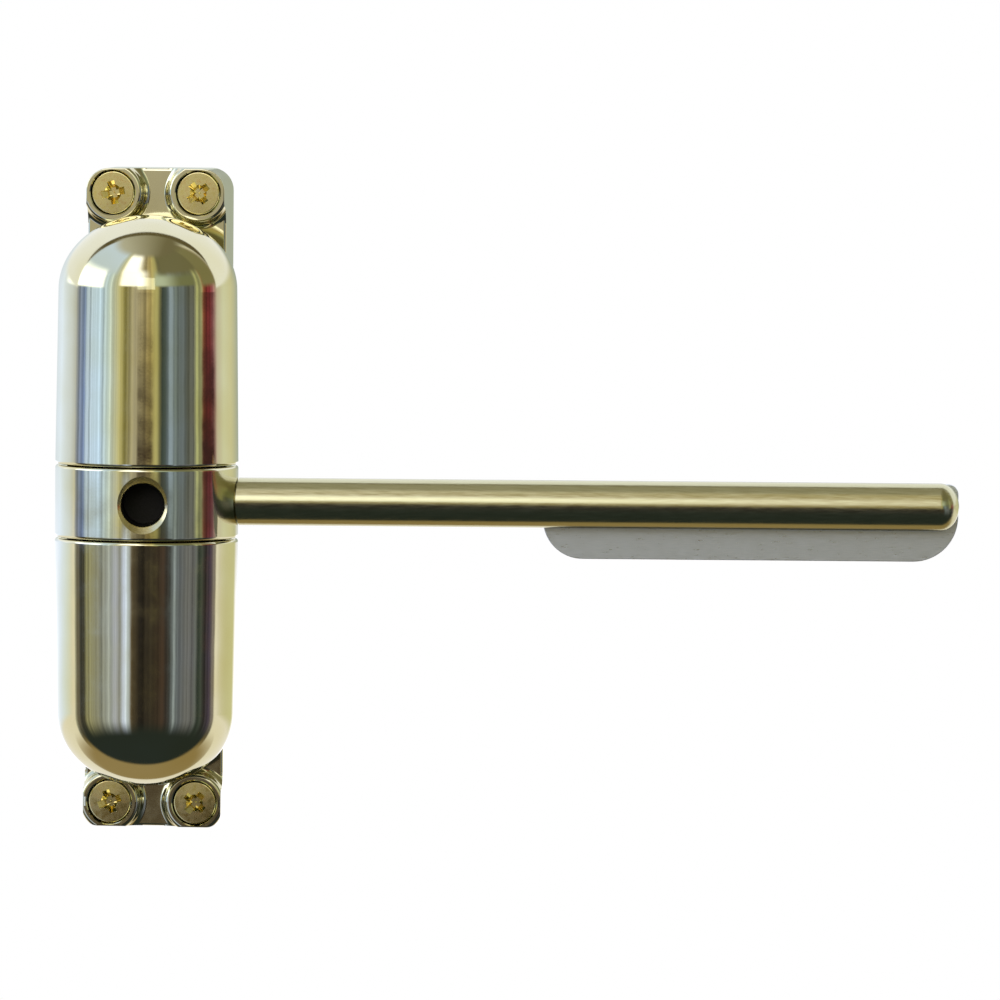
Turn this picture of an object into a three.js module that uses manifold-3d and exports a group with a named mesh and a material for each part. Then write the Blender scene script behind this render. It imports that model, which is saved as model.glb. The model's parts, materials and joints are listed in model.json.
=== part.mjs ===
// Surface-mounted spring door closer: two domed spring casings on a back plate, with a turning
// collar between them that carries the arm and its slide plate.
// Millimetres. +Z runs up the spindle, +X towards the arm, +Y into the wall behind the back plate.
import * as THREE from "three";
import { mergeVertices } from "three/addons/utils/BufferGeometryUtils.js";
import Module from "manifold-3d";

const wasm = await Module();
wasm.setup();

// Driving dimensions.
const runGap = 0.3; // clearance left between neighbouring pieces
const spindleDepth = 22.5; // wall plane to the spindle's axis
const armTurn = THREE.MathUtils.degToRad(5.7); // arm leans towards the wall when the door is shut

const base = {
  width: 28,
  height: 132.4,
  plateDepth: 10.8,
  bossDepth: 13.5,
  bossRadius: 6,
  topCorner: 4.5,
  bottomCorner: 3,
};
const screwPattern = { across: 17.3, along: 122.6 };
const mountScrew = {
  headRadius: 4.3,
  shankRadius: 2.1,
  foot: 0.4,
  headTop: 12.9,
  rimDepth: 0.6,
  crossWidth: 4.6,
  crossThickness: 1,
  crossDepth: 1.7,
};
const casing = {
  rootRadius: 18.3,
  domeRootRadius: 17.85,
  straight: 34.8,
  domeHeight: 14.9,
  wall: 2.3,
  edgeRadius: 0.9,
  bossRadius: 8,
  bossFoot: 38,
  boreFloor: 45.5,
};
const spindle = { radius: 4.5, halfLength: 52.6, grooveRadius: 3.9 };
const collar = { radius: 18.3, halfHeight: 7.2, bore: 7.3, edgeRadius: 0.8 };
const socket = { radius: 4.1, floor: 8.8, mouthRadius: 5.3, mouthDepth: 1.5 };
const legHole = { angle: 150, floor: 3.5 }; // where a spring's inner leg sits in the collar
const bush = { radius: 7, flangeRadius: 9, flangeThickness: 1.2 };
const washer = { radius: 9, thickness: 0.8 };
const circlip = { inner: 4.2, outer: 7.2, thickness: 1 };
const spring = { wire: 3, meanRadius: 12.5, coils: 8, pitch: 3.4, bend: 3 };
const anchor = { radius: 14.8, thickness: 3, hubRadius: 8, hubHeight: 5.3 };
const anchorPin = { radius: 1.2, length: 15.4 };
const casingScrew = {
  headRadius: 3.5,
  shankRadius: 1.9,
  sink: 0.15,
  rim: 0.15,
  length: 6,
  heights: [16.5, 35],
};
const arm = {
  radius: 4.75,
  reach: 162.4,
  rootStart: 14,
  rootGap: 0.2,
  spigotRadius: 3.8,
  endLength: 3.8,
  flat: 0.6,
};
const plate = { start: 79.2, end: 162.4, top: 4.3, bottom: -11.2, thickness: 1.6 };
const rivet = { headRadius: 3, shankRadius: 1.5, places: [93, 149] };

// Sides of a turned piece, by its size.
const sides = { large: 40, middle: 24, small: 16 };

// Levels along the spindle, measured up from the collar's middle.
const casingFoot = collar.halfHeight + 0.25;
const bushFlangeFoot = collar.halfHeight + runGap;
const washerFoot = bushFlangeFoot + bush.flangeThickness + runGap;
const circlipFoot = washerFoot + washer.thickness + runGap;
const coilFoot = 11;
const coilTop = coilFoot + spring.coils * spring.pitch;
const anchorFoot = coilTop + spring.bend + 0.85;
const pinLevel = anchorFoot - anchor.hubHeight / 2;
const plateFront = arm.radius - arm.flat + runGap;

const finishes = {
  brass: { color: 0xc8b878, roughness: 0.12, metalness: 1 },
  goldScrew: { color: 0xc9a545, roughness: 0.3, metalness: 1 },
  nickel: { color: 0x9aa0a8, roughness: 0.35, metalness: 1 },
  steel: { color: 0x8a8c8e, roughness: 0.4, metalness: 1 },
  springSteel: { color: 0x4c4e50, roughness: 0.45, metalness: 1 },
  bronze: { color: 0x8c6a3c, roughness: 0.5, metalness: 1 },
  nylon: { color: 0xe8e6dc, roughness: 0.6, metalness: 0 },
};

// A closed solid from any closed geometry: seams are welded and slivers on the axis are dropped.
function toSolid(geometry) {
  const bare = geometry.index ? geometry.toNonIndexed() : geometry.clone();
  bare.deleteAttribute("normal");
  bare.deleteAttribute("uv");
  const welded = mergeVertices(bare, 1e-4);
  const corners = welded.index.array;
  const kept = [];
  for (let i = 0; i < corners.length; i += 3) {
    const [a, b, c] = corners.slice(i, i + 3);
    if (a !== b && b !== c && c !== a) {
      kept.push(a, b, c);
    }
  }
  const vertProperties = new Float32Array(welded.attributes.position.array);
  return new wasm.Manifold(new wasm.Mesh({ numProp: 3, vertProperties, triVerts: new Uint32Array(kept) }));
}

function toGeometry(solid) {
  const mesh = solid.getMesh();
  const geometry = new THREE.BufferGeometry();
  geometry.setAttribute("position", new THREE.BufferAttribute(new Float32Array(mesh.vertProperties), 3));
  geometry.setIndex(new THREE.BufferAttribute(new Uint32Array(mesh.triVerts), 1));
  geometry.computeVertexNormals();
  return geometry;
}

// Cuts each tool geometry out of the body geometry.
function cut(body, ...tools) {
  let solid = toSolid(body);
  for (const tool of tools) {
    solid = solid.subtract(toSolid(tool));
  }
  return toGeometry(solid);
}

// Turns a profile of [radius, height] points about +Z. The points run from the foot of the axis,
// round the outside, to the top.
function turned(points, segments = sides.middle) {
  const profile = points.map(([r, z]) => new THREE.Vector2(r, z));
  return new THREE.LatheGeometry(profile, segments).rotateX(Math.PI / 2);
}

// Turns a ring's profile, which runs anticlockwise and closes on its first point.
function turnedRing(points, segments = sides.middle) {
  return turned([...points, points[0]], segments);
}

// A quarter of an ellipse as [radius, height] points.
function quarter(centreR, centreZ, spanR, spanZ, fromDeg, toDeg, steps) {
  const points = [];
  for (let i = 0; i <= steps; i += 1) {
    const a = THREE.MathUtils.degToRad(fromDeg + ((toDeg - fromDeg) * i) / steps);
    points.push([centreR + spanR * Math.cos(a), centreZ + spanZ * Math.sin(a)]);
  }
  return points;
}

// A solid cylinder along +Z from one height to another.
function rod(radius, from, to, segments = sides.small) {
  return turned([[0, from], [radius, from], [radius, to], [0, to]], segments);
}

// Stands a piece made about +Z out along -Y, so that its heights become depths from the wall.
function outOfWall(geometry) {
  return geometry.rotateX(Math.PI / 2);
}

function roundedOutline(left, right, bottom, top, radii) {
  const shape = new THREE.Shape();
  shape.moveTo(left + radii.bottomLeft, bottom);
  shape.lineTo(right - radii.bottomRight, bottom);
  const br = radii.bottomRight;
  shape.absarc(right - br, bottom + br, br, -Math.PI / 2, 0);
  shape.lineTo(right, top - radii.topRight);
  const tr = radii.topRight;
  shape.absarc(right - tr, top - tr, tr, 0, Math.PI / 2);
  shape.lineTo(left + radii.topLeft, top);
  const tl = radii.topLeft;
  shape.absarc(left + tl, top - tl, tl, Math.PI / 2, Math.PI);
  shape.lineTo(left, bottom + radii.bottomLeft);
  const bl = radii.bottomLeft;
  shape.absarc(left + bl, bottom + bl, bl, Math.PI, Math.PI * 1.5);
  return shape;
}

function extruded(shape, depth) {
  return new THREE.ExtrudeGeometry(shape, { depth, bevelEnabled: false, curveSegments: 6 });
}

function piece(name, geometry, finish) {
  const mesh = new THREE.Mesh(geometry, new THREE.MeshStandardMaterial(finish));
  mesh.name = name;
  return mesh;
}

const screwPlaces = {
  upper_left: [-screwPattern.across / 2, screwPattern.along / 2],
  upper_right: [screwPattern.across / 2, screwPattern.along / 2],
  lower_left: [-screwPattern.across / 2, -screwPattern.along / 2],
  lower_right: [screwPattern.across / 2, -screwPattern.along / 2],
};

// The outer surface of one casing, from its foot to the tip of its dome, grown by a clearance.
function casingOuter(grow) {
  const dome = quarter(0, casing.straight, casing.domeRootRadius + grow, casing.domeHeight + grow, 0, 90, 7);
  return [[casing.rootRadius + grow, 0], ...dome];
}

// Back plate: a block with a boss round each screw, hollowed to the casings' shape.
function mountingBase() {
  const outline = roundedOutline(-base.width / 2, base.width / 2, -base.height / 2, base.height / 2, {
    topLeft: base.topCorner,
    topRight: base.topCorner,
    bottomLeft: base.bottomCorner,
    bottomRight: base.bottomCorner,
  });
  const places = Object.values(screwPlaces);
  const tallBlock = toSolid(outOfWall(extruded(outline, base.bossDepth)));
  let solid = toSolid(outOfWall(extruded(outline, base.plateDepth)));
  for (const [x, z] of places) {
    const boss = outOfWall(rod(base.bossRadius, 1, base.bossDepth, sides.middle)).translate(x, 0, z);
    solid = solid.add(toSolid(boss).intersect(tallBlock));
  }

  const upperSeat = casingOuter(runGap).map(([r, z]) => [r, z + casingFoot]);
  const lowerSeat = upperSeat.map(([r, z]) => [r, -z]).reverse();
  const seat = turned([...lowerSeat, ...upperSeat], sides.large).translate(0, -spindleDepth, 0);
  solid = solid.subtract(toSolid(seat));

  const throat = mountScrew.shankRadius + runGap;
  const seatRadius = mountScrew.headRadius + runGap;
  const seatLevel = mountScrew.headTop - mountScrew.rimDepth - runGap;
  const above = base.bossDepth + 1;
  const counterbore = [[0, -1], [throat, -1], [throat, seatLevel - (seatRadius - throat)],
    [seatRadius, seatLevel], [seatRadius, above], [0, above]];
  for (const [x, z] of places) {
    solid = solid.subtract(toSolid(outOfWall(turned(counterbore, sides.middle)).translate(x, 0, z)));
  }

  const hole = casingScrew.shankRadius + runGap;
  const sink = casingScrew.headRadius + runGap;
  const coneFoot = casingScrew.sink + casingScrew.rim;
  const countersink = [[0, -1], [sink, -1], [sink, coneFoot], [hole, coneFoot + sink - hole],
    [hole, 8], [0, 8]];
  for (const height of casingScrew.heights) {
    for (const side of [1, -1]) {
      const cutter = outOfWall(turned(countersink, sides.small)).translate(0, 0, side * height);
      solid = solid.subtract(toSolid(cutter));
    }
  }
  return toGeometry(solid);
}

// Cross-recessed flat head screw, its shank stopping just short of the wall face.
function mountingScrew() {
  const { headRadius, shankRadius, foot, headTop, crossWidth, crossThickness, crossDepth } = mountScrew;
  const coneTop = headTop - mountScrew.rimDepth;
  const profile = [[0, foot], [shankRadius, foot], [shankRadius, coneTop - (headRadius - shankRadius)],
    [headRadius, coneTop], [headRadius, headTop - 0.15], [headRadius - 0.3, headTop], [0, headTop]];
  const slot = new THREE.BoxGeometry(crossWidth, crossThickness, crossDepth);
  slot.translate(0, 0, headTop - crossDepth / 2 + 0.05);
  const cross = slot.clone().rotateZ(Math.PI / 2);
  return outOfWall(cut(turned(profile, sides.middle), slot, cross));
}

// One spring casing: a drafted tube with an elliptical dome and a spindle boss inside.
function springCasing() {
  const { wall, straight, domeHeight, edgeRadius, rootRadius } = casing;
  const { bossRadius, bossFoot, boreFloor } = casing;
  const innerRoot = rootRadius - wall;
  const innerDome = casing.domeRootRadius - wall;
  const innerHeight = domeHeight - wall;
  const bore = spindle.radius + runGap;
  const bossAngle = THREE.MathUtils.radToDeg(Math.acos(bossRadius / innerDome));
  const foot = quarter(rootRadius - edgeRadius, edgeRadius, edgeRadius, edgeRadius, -90, 0, 3);
  const dome = casingOuter(0).slice(1);
  const profile = [
    [0, boreFloor],
    [bore, boreFloor],
    [bore, bossFoot],
    [bossRadius, bossFoot],
    ...quarter(0, straight, innerDome, innerHeight, bossAngle, 0, 3),
    [innerRoot, 0],
    ...foot,
    ...dome,
  ];
  const shell = turned(profile, sides.large).translate(0, 0, casingFoot);
  const drills = casingScrew.heights.map((height) =>
    rod(casingScrew.shankRadius + runGap, 12, 20).rotateX(-Math.PI / 2).translate(0, 0, height),
  );
  return cut(shell, ...drills);
}

function casingFixingScrew() {
  const { headRadius, shankRadius, sink, rim, length } = casingScrew;
  const coneDepth = headRadius - shankRadius;
  const profile = [[0, sink], [headRadius, sink], [headRadius, sink + rim],
    [shankRadius, sink + rim + coneDepth], [shankRadius, length], [0, length]];
  const slot = new THREE.BoxGeometry(3.6, 0.8, 2).translate(0, 0, sink);
  const cross = slot.clone().rotateZ(Math.PI / 2);
  return outOfWall(cut(turned(profile, sides.small), slot, cross));
}

// Fixed shaft with a circlip groove each side of the collar and a cross hole for each anchor pin.
function fixedSpindle() {
  const { radius, halfLength, grooveRadius } = spindle;
  const low = circlipFoot - 0.2;
  const high = circlipFoot + circlip.thickness + 0.2;
  const upper = [[radius, low], [grooveRadius, low], [grooveRadius, high], [radius, high],
    [radius, halfLength - 0.8], [radius - 0.8, halfLength], [0, halfLength]];
  const lower = upper.map(([r, z]) => [r, -z]).reverse();
  const holes = [1, -1].map((side) =>
    rod(anchorPin.radius + runGap, -10, 10).rotateY(Math.PI / 2).translate(0, 0, side * pinLevel),
  );
  return cut(turned([...lower, ...upper]), ...holes);
}

// Disc with a hub: the spring's outer leg sits in its hole and the pin locks its hub to the spindle.
function springAnchor(legAngle) {
  const bore = spindle.radius + runGap;
  const hubFoot = anchorFoot - anchor.hubHeight;
  const top = anchorFoot + anchor.thickness;
  const disc = turnedRing([[bore, hubFoot], [anchor.hubRadius, hubFoot], [anchor.hubRadius, anchorFoot],
    [anchor.radius, anchorFoot], [anchor.radius, top], [bore, top]], sides.large);
  const legX = spring.meanRadius * Math.cos(legAngle);
  const legY = spring.meanRadius * Math.sin(legAngle);
  const springHole = rod(spring.wire / 2 + runGap, anchorFoot - 1, top + 1).translate(legX, legY, 0);
  const pinHole = rod(anchorPin.radius + runGap, -12, 12).rotateY(Math.PI / 2).translate(0, 0, pinLevel);
  return cut(disc, springHole, pinHole);
}

// Torsion spring: a leg in the collar, a bend, the coils, a bend and a leg in the anchor.
// Side 1 is above the collar and -1 below it, which also turns the coils the other way.
function springPath(side) {
  const { meanRadius, coils, bend, pitch } = spring;
  const startAngle = THREE.MathUtils.degToRad(legHole.angle) + armTurn;
  const coilLength = coils * 2 * Math.PI * meanRadius;
  const points = [];
  const add = (along, height) => {
    const angle = startAngle + (side * along) / meanRadius;
    points.push(new THREE.Vector3(meanRadius * Math.cos(angle), meanRadius * Math.sin(angle), side * height));
  };
  const bendSteps = [0, 22.5, 45, 67.5].map(THREE.MathUtils.degToRad);
  add(0, 4);
  add(0, 5.5);
  for (const b of bendSteps) {
    add(bend * (1 - Math.cos(b)), coilFoot - bend + bend * Math.sin(b));
  }
  const coilSteps = coils * 12;
  for (let i = 0; i <= coilSteps; i += 1) {
    const share = i / coilSteps;
    add(bend + coilLength * share, coilFoot + pitch * coils * share);
  }
  for (const b of bendSteps.slice().reverse()) {
    add(2 * bend + coilLength - bend * (1 - Math.cos(b)), coilTop + bend - bend * Math.sin(b));
  }
  add(2 * bend + coilLength, coilTop + bend + 1.8);
  add(2 * bend + coilLength, coilTop + bend + 3.6);
  const path = new THREE.CatmullRomCurve3(points, false, "catmullrom", 0.5);
  path.getUtoTmapping = (share) => share; // one section at each point, close together on the bends
  return path;
}

function springLegAngle(side) {
  const along = 2 * spring.bend + spring.coils * 2 * Math.PI * spring.meanRadius;
  return THREE.MathUtils.degToRad(legHole.angle) + armTurn + (side * along) / spring.meanRadius;
}

function torsionSpring(side) {
  const section = new THREE.Shape();
  for (let i = 0; i < 8; i += 1) {
    const a = (i * Math.PI) / 4;
    const method = i === 0 ? "moveTo" : "lineTo";
    section[method]((spring.wire / 2) * Math.cos(a), (spring.wire / 2) * Math.sin(a));
  }
  const path = springPath(side);
  return new THREE.ExtrudeGeometry(section, {
    steps: path.points.length - 1,
    extrudePath: path,
    bevelEnabled: false,
  });
}

// Collar: a bored ring with the arm's socket, a free socket a quarter turn away and two spring holes.
function armCollar() {
  const { radius, halfHeight, bore, edgeRadius } = collar;
  const ring = turnedRing([
    [bore, -halfHeight],
    ...quarter(radius - edgeRadius, edgeRadius - halfHeight, edgeRadius, edgeRadius, -90, 0, 3),
    ...quarter(radius - edgeRadius, halfHeight - edgeRadius, edgeRadius, edgeRadius, 0, 90, 3),
    [bore, halfHeight],
  ], sides.large);
  const mouthFoot = radius - socket.mouthDepth;
  const mouthSlope = (socket.mouthRadius - socket.radius) / (socket.mouthDepth - 0.4);
  const flared = turned([[0, socket.floor], [socket.radius, socket.floor], [socket.radius, mouthFoot],
    [socket.radius + mouthSlope * 3, mouthFoot + 3], [0, mouthFoot + 3]]);
  const freeSocket = flared.rotateX(Math.PI / 2);
  const armSocket = rod(socket.radius, socket.floor, radius + 1, sides.middle).rotateY(Math.PI / 2);
  const foot = THREE.MathUtils.degToRad(legHole.angle);
  const legX = spring.meanRadius * Math.cos(foot);
  const legY = spring.meanRadius * Math.sin(foot);
  const legHoles = [1, -1].map((side) =>
    rod(spring.wire / 2 + runGap, legHole.floor, 10).rotateX(side > 0 ? 0 : Math.PI).translate(legX, legY, 0),
  );
  return cut(ring, armSocket, freeSocket, ...legHoles);
}

function collarBush() {
  const bore = spindle.radius + runGap;
  const top = bushFlangeFoot + bush.flangeThickness;
  return turnedRing([[bore, 0.3], [bush.radius, 0.3], [bush.radius, bushFlangeFoot],
    [bush.flangeRadius, bushFlangeFoot], [bush.flangeRadius, top], [bore, top]]);
}

function thrustWasher() {
  const bore = spindle.radius + runGap;
  const top = washerFoot + washer.thickness;
  return turnedRing([[bore, washerFoot], [washer.radius, washerFoot], [washer.radius, top], [bore, top]]);
}

function retainingClip() {
  const top = circlipFoot + circlip.thickness;
  const ring = turnedRing([[circlip.inner, circlipFoot], [circlip.outer, circlipFoot], [circlip.outer, top],
    [circlip.inner, top]]);
  const mouth = new THREE.BoxGeometry(3, 10, 4).translate(0, 5, circlipFoot + circlip.thickness / 2);
  return cut(ring, mouth);
}

// Round arm with a root hollowed to sit on the collar, a spigot in its socket, a rounded tip, and a
// flat behind it for the slide plate.
function armRod() {
  const { radius, reach, rootStart, rootGap, spigotRadius, endLength, flat } = arm;
  const bar = turned([[0, rootStart], [radius, rootStart],
    ...quarter(0, reach - endLength, radius, endLength, 0, 90, 6)]).rotateY(Math.PI / 2);
  const { halfHeight } = collar;
  const collarShape = rod(collar.radius + rootGap, -halfHeight, halfHeight, sides.large * 2);
  const spigot = rod(spigotRadius, socket.floor + runGap, collar.radius + 2, sides.middle);
  spigot.rotateY(Math.PI / 2);
  const round = toGeometry(toSolid(bar).subtract(toSolid(collarShape)).add(toSolid(spigot)));
  const flatCut = new THREE.BoxGeometry(plate.end - plate.start + 1, 4, 2 * radius + 2);
  flatCut.translate((plate.end + plate.start) / 2 + 0.2, radius - flat + 2, 0);
  const rivetHoles = rivet.places.map((place) =>
    rod(rivet.shankRadius + runGap, 1.2, 8).rotateX(-Math.PI / 2).translate(place, 0, 0),
  );
  return cut(round, flatCut, ...rivetHoles);
}

// Slide plate: a flat strip that hangs below the arm and bears on the door with its back face.
function slidePlate() {
  const outline = roundedOutline(plate.start, plate.end, plate.bottom, plate.top, {
    topLeft: 2,
    topRight: 2,
    bottomLeft: 8,
    bottomRight: 9,
  });
  const sheet = extruded(outline, plate.thickness).rotateX(Math.PI / 2);
  sheet.translate(0, plateFront + plate.thickness, 0);
  const throat = rivet.shankRadius + runGap;
  const sink = rivet.headRadius + runGap;
  const back = plateFront + plate.thickness;
  const tool = turned([[0, 2], [throat, 2], [throat, back - (sink - throat) + 0.1],
    [sink, back + 0.1], [sink, back + 2], [0, back + 2]], sides.small).rotateX(-Math.PI / 2);
  const holes = rivet.places.map((place) => tool.clone().translate(place, 0, 0));
  return cut(sheet, ...holes);
}

function plateRivet() {
  const back = plateFront + plate.thickness;
  const head = back - 0.1;
  const coneFoot = head - 0.1 - (rivet.headRadius - rivet.shankRadius);
  return turned([[0, 1.6], [rivet.shankRadius, 1.6], [rivet.shankRadius, coneFoot],
    [rivet.headRadius, head - 0.1], [rivet.headRadius, head], [0, head]], sides.small).rotateX(-Math.PI / 2);
}

const closer = new THREE.Group();
closer.add(piece("mounting_base", mountingBase(), finishes.brass));
for (const [place, [x, z]] of Object.entries(screwPlaces)) {
  const screw = piece(`${place}_mounting_screw`, mountingScrew(), finishes.goldScrew);
  screw.position.set(x, 0, z);
  closer.add(screw);
}

// Everything fixed about the spindle. The lower pieces are the upper ones turned over.
const spindleLine = new THREE.Group();
spindleLine.position.set(0, -spindleDepth, 0);
spindleLine.add(piece("spindle", fixedSpindle(), finishes.steel));
for (const [name, side] of [["upper", 1], ["lower", -1]]) {
  const turnedOver = side > 0 ? 0 : Math.PI;
  const legAngle = side > 0 ? springLegAngle(side) : Math.PI - springLegAngle(side);
  const fixed = [
    piece(`${name}_casing`, springCasing(), finishes.brass),
    piece(`${name}_spring_anchor`, springAnchor(legAngle), finishes.steel),
    piece(`${name}_thrust_washer`, thrustWasher(), finishes.nylon),
    piece(`${name}_circlip`, retainingClip(), finishes.springSteel),
  ];
  for (const mesh of fixed) {
    mesh.rotation.y = turnedOver;
    spindleLine.add(mesh);
  }
  const pinShape = rod(anchorPin.radius, -anchorPin.length / 2, anchorPin.length / 2);
  const pin = piece(`${name}_anchor_pin`, pinShape, finishes.steel);
  pin.rotation.y = Math.PI / 2;
  pin.position.z = side * pinLevel;
  spindleLine.add(pin);
  spindleLine.add(piece(`${name}_torsion_spring`, torsionSpring(side), finishes.springSteel));
  for (const [index, height] of casingScrew.heights.entries()) {
    const end = index === 0 ? "inner" : "outer";
    const screw = piece(`${name}_casing_screw_${end}`, casingFixingScrew(), finishes.steel);
    screw.position.z = side * height;
    closer.add(screw);
  }
}
closer.add(spindleLine);

// Everything that swings with the arm.
const armLine = new THREE.Group();
armLine.position.set(0, -spindleDepth, 0);
armLine.rotation.z = armTurn;
armLine.add(piece("arm_collar", armCollar(), finishes.brass));
for (const [name, turn] of [["upper", 0], ["lower", Math.PI]]) {
  const sleeve = piece(`${name}_collar_bush`, collarBush(), finishes.bronze);
  sleeve.rotation.y = turn;
  armLine.add(sleeve);
}
armLine.add(piece("arm_rod", armRod(), finishes.brass));
armLine.add(piece("slide_plate", slidePlate(), finishes.nickel));
for (const [index, place] of rivet.places.entries()) {
  const pin = piece(`slide_plate_rivet_${index === 0 ? "inner" : "outer"}`, plateRivet(), finishes.steel);
  pin.position.x = place;
  armLine.add(pin);
}
closer.add(armLine);

export default closer;
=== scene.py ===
import json
import math

import bmesh
import bpy
from mathutils import Matrix, Vector


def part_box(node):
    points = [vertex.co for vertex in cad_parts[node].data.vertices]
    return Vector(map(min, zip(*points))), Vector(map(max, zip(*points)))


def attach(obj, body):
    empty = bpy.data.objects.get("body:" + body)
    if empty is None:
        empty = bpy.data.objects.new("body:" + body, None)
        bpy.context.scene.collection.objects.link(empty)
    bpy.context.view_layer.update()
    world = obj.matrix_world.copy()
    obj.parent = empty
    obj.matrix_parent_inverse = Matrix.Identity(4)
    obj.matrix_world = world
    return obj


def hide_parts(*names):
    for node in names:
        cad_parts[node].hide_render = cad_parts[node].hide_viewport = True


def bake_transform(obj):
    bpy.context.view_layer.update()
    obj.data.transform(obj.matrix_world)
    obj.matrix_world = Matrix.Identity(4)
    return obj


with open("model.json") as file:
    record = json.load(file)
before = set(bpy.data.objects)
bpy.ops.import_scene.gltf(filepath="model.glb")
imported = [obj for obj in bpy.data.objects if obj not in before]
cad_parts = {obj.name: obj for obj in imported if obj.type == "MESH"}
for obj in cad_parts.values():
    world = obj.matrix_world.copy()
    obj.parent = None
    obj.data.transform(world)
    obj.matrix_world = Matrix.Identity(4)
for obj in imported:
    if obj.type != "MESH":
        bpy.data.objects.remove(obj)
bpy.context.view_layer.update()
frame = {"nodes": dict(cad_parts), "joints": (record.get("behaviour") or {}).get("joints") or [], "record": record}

mm = 0.001
scene = bpy.context.scene
noPlace = Matrix.Identity(4)

# The spindle's line and the arm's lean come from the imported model.
armJoint = frame["joints"][0]
spindlePlace = Matrix.Translation(Vector(armJoint["pos_m"]))
slideMount = [m for m in frame["record"]["mounts"] if m["name"] == "slide_face"][0]
armTurn = math.atan2(-slideMount["axis"][0], slideMount["axis"][1])
armPlace = spindlePlace @ Matrix.Rotation(armTurn, 4, "Z")
outOfWall = Matrix.Rotation(math.radians(90), 4, "X")  # heights become depths in front of the wall
alongArm = Matrix.Rotation(math.radians(90), 4, "Y")  # heights become lengths along the arm
backOfArm = Matrix.Rotation(math.radians(-90), 4, "X")  # heights become depths behind the arm
upsideDown = Matrix.Rotation(math.radians(180), 4, "Y")


# Mesh helpers. Sizes given to them are in millimetres.

def finished(name, bm, place=noPlace, sharpAngle=32):
    bmesh.ops.transform(bm, matrix=place, verts=bm.verts[:])
    mesh = bpy.data.meshes.new(name)
    bm.to_mesh(mesh)
    bm.free()
    piece = bpy.data.objects.new(name, mesh)
    scene.collection.objects.link(piece)
    smoothed(piece, sharpAngle)
    return piece


def smoothed(piece, sharpAngle=32):
    piece.data.shade_smooth()
    piece.data.set_sharp_from_angle(angle=math.radians(sharpAngle))
    return piece


# A profile of (radius, height) corners turned about +Z. Rounds are (corner's number, radius, segments).
def turned(corners, rounds=(), steps=128, closed=False):
    bm = bmesh.new()
    points = [bm.verts.new((r * mm, 0, z * mm)) for r, z in corners]
    for first, second in zip(points, points[1:]):
        bm.edges.new((first, second))
    if closed:
        bm.edges.new((points[-1], points[0]))
    for corner, radius, segments in rounds:
        bmesh.ops.bevel(bm, geom=[points[corner]], offset=radius * mm, segments=segments,
                        profile=0.5, affect="VERTICES", material=-1)
    return spunRound(bm, steps)


def rodMesh(radius, foot, head, steps=32):
    return turned([(0, foot), (radius, foot), (radius, head), (0, head)], steps=steps)


# Long edges of the profile get a point close to each end first, so that a rounded end doesn't shade
# the straight part.
def spunRound(bm, steps, longest=2.0, support=0.08):
    for edge in bm.edges[:]:
        if edge.calc_length() > longest * mm:
            for end in edge.verts[:]:
                bmesh.utils.edge_split(edge, end, support * mm / edge.calc_length())
            bmesh.ops.subdivide_edges(bm, edges=[edge], cuts=int(edge.calc_length() / (longest * mm)))
    bmesh.ops.spin(bm, geom=bm.verts[:] + bm.edges[:], cent=(0, 0, 0), axis=(0, 0, 1),
                   angle=2 * math.pi, steps=steps, use_merge=True)
    bmesh.ops.remove_doubles(bm, verts=bm.verts[:], dist=1e-7)
    bmesh.ops.dissolve_degenerate(bm, edges=bm.edges[:], dist=1e-8)
    bmesh.ops.recalc_face_normals(bm, faces=bm.faces[:])
    return bm


# A block cut from a rectangle with rounded corners, standing along +Z. Rim rounds its upper edge.
def roundedBlock(left, right, bottom, top, radii, foot, head, segments=12, rim=0):
    bm = bmesh.new()
    corners = [bm.verts.new((x * mm, y * mm, foot * mm)) for x, y in
               ((left, bottom), (right, bottom), (right, top), (left, top))]
    bm.faces.new(corners)
    for corner, radius in zip(corners, radii):
        bmesh.ops.bevel(bm, geom=[corner], offset=radius * mm, segments=segments, profile=0.5,
                        affect="VERTICES", material=-1)
    raised = bmesh.ops.extrude_face_region(bm, geom=bm.faces[:])
    lifted = [v for v in raised["geom"] if isinstance(v, bmesh.types.BMVert)]
    bmesh.ops.translate(bm, vec=(0, 0, (head - foot) * mm), verts=lifted)
    if rim:
        upper = [e for e in bm.edges if e.verts[0] in lifted and e.verts[1] in lifted]
        bmesh.ops.bevel(bm, geom=upper, offset=rim * mm, segments=4, profile=0.5, affect="EDGES",
                        material=-1)
    bmesh.ops.recalc_face_normals(bm, faces=bm.faces[:])
    return bm


def bakeModifiers(piece):
    bpy.context.view_layer.update()
    evaluated = piece.evaluated_get(bpy.context.evaluated_depsgraph_get())
    mesh = bpy.data.meshes.new_from_object(evaluated)
    old = piece.data
    piece.modifiers.clear()
    piece.data = mesh
    bpy.data.meshes.remove(old)


# Joins or cuts with other meshes, which are used up.
def combined(piece, tools, operation="DIFFERENCE", sharpAngle=32):
    for tool in tools:
        join = piece.modifiers.new("join", "BOOLEAN")
        join.operation = operation
        join.solver = "EXACT"
        join.object = tool
        bakeModifiers(piece)
        bpy.data.objects.remove(tool)
    return smoothed(piece, sharpAngle)


# Rounds every edge that turns by more than the angle, in degrees.
def softEdges(piece, width, segments, angle):
    bevel = piece.modifiers.new("edges", "BEVEL")
    bevel.width = width * mm
    bevel.segments = segments
    bevel.limit_method = "ANGLE"
    bevel.angle_limit = math.radians(angle)
    bevel.harden_normals = True
    bevel.use_clamp_overlap = True
    bakeModifiers(piece)
    return piece


# Keeps large flat faces flat in shading beside their rounded edges.
def evenNormals(piece):
    even = piece.modifiers.new("normals", "WEIGHTED_NORMAL")
    even.keep_sharp = True
    bakeModifiers(piece)
    return piece


def painted(piece, material):
    piece.data.materials.clear()
    piece.data.materials.append(material)


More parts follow.
